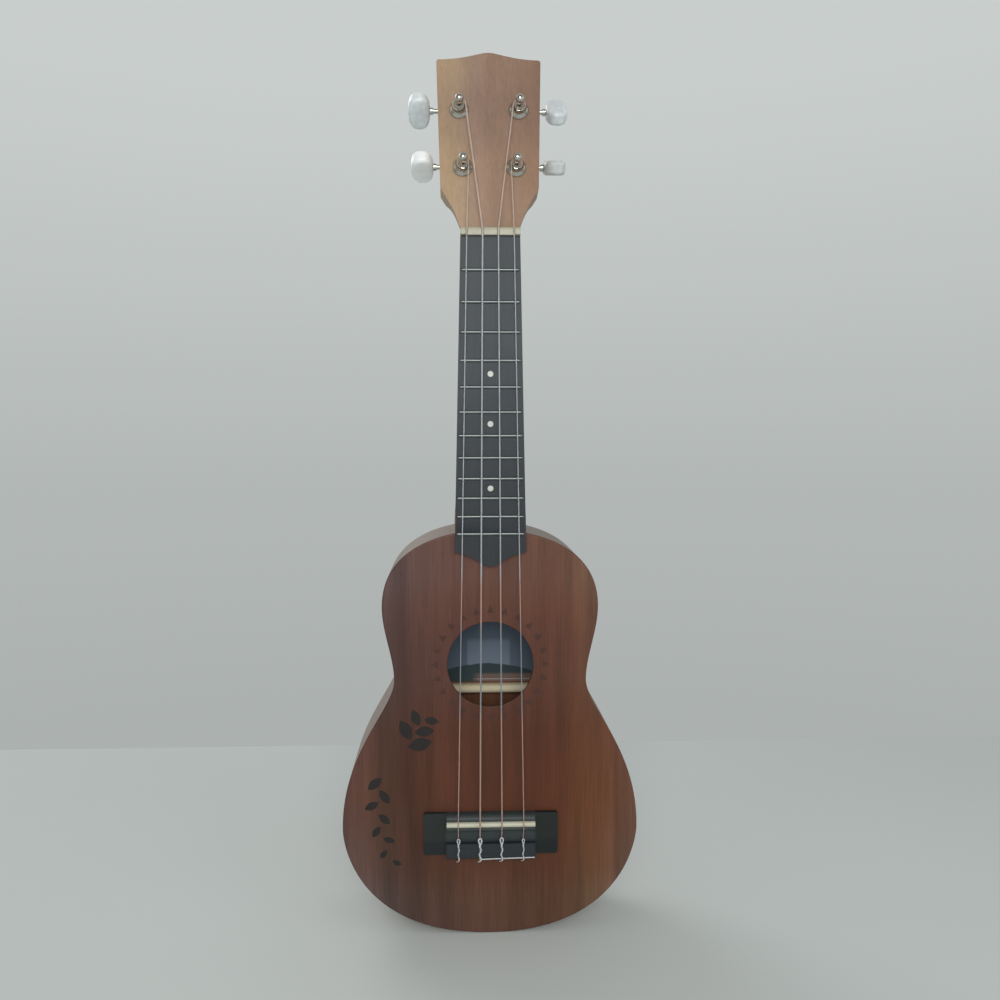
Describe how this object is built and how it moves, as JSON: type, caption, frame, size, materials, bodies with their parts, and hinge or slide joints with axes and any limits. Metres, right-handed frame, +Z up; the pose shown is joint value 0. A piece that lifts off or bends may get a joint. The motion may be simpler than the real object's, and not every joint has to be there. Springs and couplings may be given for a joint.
{
  "type": "soprano ukulele",
  "caption": "Small flat-back ukulele with a waisted hollow body, round sound hole, tie bridge, fretted neck and tilted head with open-geared tuning machines whose buttons turn the string posts.",
  "frame": {"origin": "middle of the nut's front edge, in the plane of the soundboard's face and the neck's flat top, where a wall hanger's fork goes round the neck", "axes": "+Z up the neck to the head, +Y out of the flat back, so the strings face -Y, +X towards the treble side"},
  "size_m": [0.18, 0.0646, 0.5336],
  "materials": {
    "mahogany": "satin",
    "neck_wood": "satin",
    "rosewood": "satin",
    "spruce": "raw",
    "paper": "matt",
    "cream": "satin",
    "fret_wire": "polished",
    "pearl": "gloss",
    "chrome": "polished",
    "gear_steel": "satin",
    "nylon": "gloss"
  },
  "bodies": {
    "instrument": {"soundboard": "mahogany", "back_plate": "mahogany", "bass_side": "mahogany", "treble_side": "mahogany", "neck_block": "spruce", "tail_block": "spruce", "top_linings": "spruce", "back_linings": "spruce", "soundboard_braces": "spruce", "back_braces": "spruce", "bridge_plate": "spruce", "label": "paper", "neck": "neck_wood", "headstock": "neck_wood", "fingerboard": "rosewood", "frets": "fret_wire", "position_dots": "pearl", "nut": "cream", "bridge": "rosewood", "saddle": "cream", "post_bushings": "chrome", "plate_screws": "chrome", "string_g": "nylon", "tuner_plate_g": "chrome", "string_c": "nylon", "tuner_plate_c": "chrome", "string_e": "nylon", "tuner_plate_e": "chrome", "string_a": "nylon", "tuner_plate_a": "chrome"},
    "button_set_g": {"worm_shaft_g": "chrome", "button_g": "pearl"},
    "post_set_g": {"post_g": "chrome", "gear_g": "gear_steel", "gear_screw_g": "chrome", "string_winding_g": "nylon"},
    "button_set_c": {"worm_shaft_c": "chrome", "button_c": "pearl"},
    "post_set_c": {"post_c": "chrome", "gear_c": "gear_steel", "gear_screw_c": "chrome", "string_winding_c": "nylon"},
    "button_set_e": {"worm_shaft_e": "chrome", "button_e": "pearl"},
    "post_set_e": {"post_e": "chrome", "gear_e": "gear_steel", "gear_screw_e": "chrome", "string_winding_e": "nylon"},
    "button_set_a": {"worm_shaft_a": "chrome", "button_a": "pearl"},
    "post_set_a": {"post_a": "chrome", "gear_a": "gear_steel", "gear_screw_a": "chrome", "string_winding_a": "nylon"}
  },
  "joints": [
    {"name": "button_turn_g", "type": "hinge", "parent": "instrument", "child": "button_set_g", "pos_m": [-0.0156, 0.02595, 0.04673], "axis": [1, 0, 0], "continuous": true},
    {"name": "post_turn_g", "type": "hinge", "parent": "instrument", "child": "post_set_g", "pos_m": [-0.0156, 0.00784, 0.04138], "axis": [0, -0.9781, 0.2079], "continuous": true},
    {"name": "button_turn_c", "type": "hinge", "parent": "instrument", "child": "button_set_c", "pos_m": [-0.0176, 0.03347, 0.08214], "axis": [1, 0, 0], "continuous": true},
    {"name": "post_turn_c", "type": "hinge", "parent": "instrument", "child": "post_set_c", "pos_m": [-0.0176, 0.01536, 0.07679], "axis": [0, -0.9781, 0.2079], "continuous": true},
    {"name": "button_turn_e", "type": "hinge", "parent": "instrument", "child": "button_set_e", "pos_m": [0.0176, 0.03347, 0.08214], "axis": [1, 0, 0], "continuous": true},
    {"name": "post_turn_e", "type": "hinge", "parent": "instrument", "child": "post_set_e", "pos_m": [0.0176, 0.01536, 0.07679], "axis": [0, -0.9781, 0.2079], "continuous": true},
    {"name": "button_turn_a", "type": "hinge", "parent": "instrument", "child": "button_set_a", "pos_m": [0.0156, 0.02595, 0.04673], "axis": [1, 0, 0], "continuous": true},
    {"name": "post_turn_a", "type": "hinge", "parent": "instrument", "child": "post_set_a", "pos_m": [0.0156, 0.00784, 0.04138], "axis": [0, -0.9781, 0.2079], "continuous": true}
  ],
  "couplings": [
    {"joint": "post_turn_g", "follows": "button_turn_g", "ratio": 0.0625},
    {"joint": "post_turn_c", "follows": "button_turn_c", "ratio": 0.0625},
    {"joint": "post_turn_e", "follows": "button_turn_e", "ratio": 0.0625},
    {"joint": "post_turn_a", "follows": "button_turn_a", "ratio": 0.0625}
  ]
}
